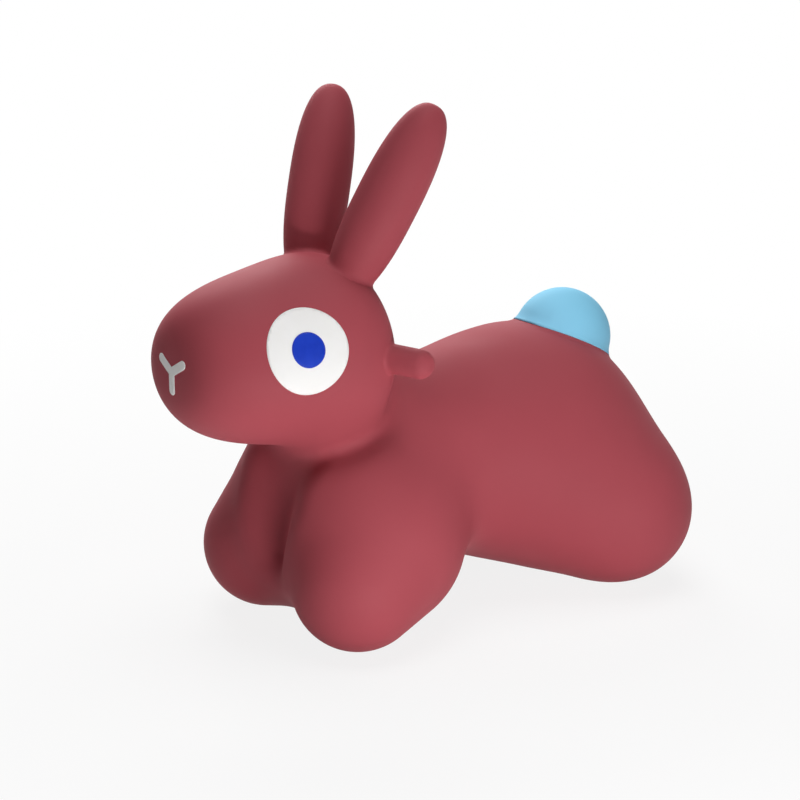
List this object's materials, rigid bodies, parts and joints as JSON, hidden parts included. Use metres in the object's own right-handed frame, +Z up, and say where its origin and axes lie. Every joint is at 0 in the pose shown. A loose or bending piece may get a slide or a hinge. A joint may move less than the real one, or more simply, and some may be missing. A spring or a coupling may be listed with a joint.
{
  "type": "inflatable bunny hopper",
  "caption": "Inflatable bunny-shaped ride-on hopper of soft vinyl, with upright ears to bend, grip pegs on the cheeks, a ball tail and a plugged air valve.",
  "frame": {"origin": "on the ground, under the middle of the overall length and width", "axes": "+Z up, -Y towards the nose, +X towards the bunny's left"},
  "size_m": [0.3452, 0.5438, 0.5066],
  "materials": {
    "vinyl": "satin burgundy soft PVC",
    "tail_vinyl": "satin sky blue soft PVC",
    "white_ink": "printed white vinyl ink",
    "blue_ink": "printed blue vinyl ink",
    "valve_vinyl": "plain off-white soft PVC"
  },
  "bodies": {
    "skin": {"torso": "vinyl", "leg_front_left": "vinyl", "leg_front_right": "vinyl", "leg_hind_left": "vinyl", "leg_hind_right": "vinyl", "head": "vinyl", "handle_left": "vinyl", "handle_right": "vinyl", "tail": "tail_vinyl", "eye_white_left": "white_ink", "eye_white_right": "white_ink", "eye_pupil_left": "blue_ink", "eye_pupil_right": "blue_ink", "nose_mark": "white_ink", "valve_seat": "valve_vinyl"},
    "ear_left": {"ear_left": "vinyl"},
    "ear_right": {"ear_right": "vinyl"},
    "valve_plug": {"valve_plug": "valve_vinyl"}
  },
  "joints": [
    {"name": "ear_left_flex", "type": "hinge", "parent": "skin", "child": "ear_left", "pos_m": [0.0337, -0.09326, 0.35448], "axis": [1, 0, 0], "range_deg": [-25, 25], "stiffness_Nm_per_rad": 3},
    {"name": "ear_right_flex", "type": "hinge", "parent": "skin", "child": "ear_right", "pos_m": [-0.0337, -0.09326, 0.35448], "axis": [1, 0, 0], "range_deg": [-25, 25], "stiffness_Nm_per_rad": 3},
    {"name": "valve_plug_pull", "type": "slide", "parent": "skin", "child": "valve_plug", "axis": [0, -0.32, -0.9474], "range_m": [0, 0.03]}
  ]
}
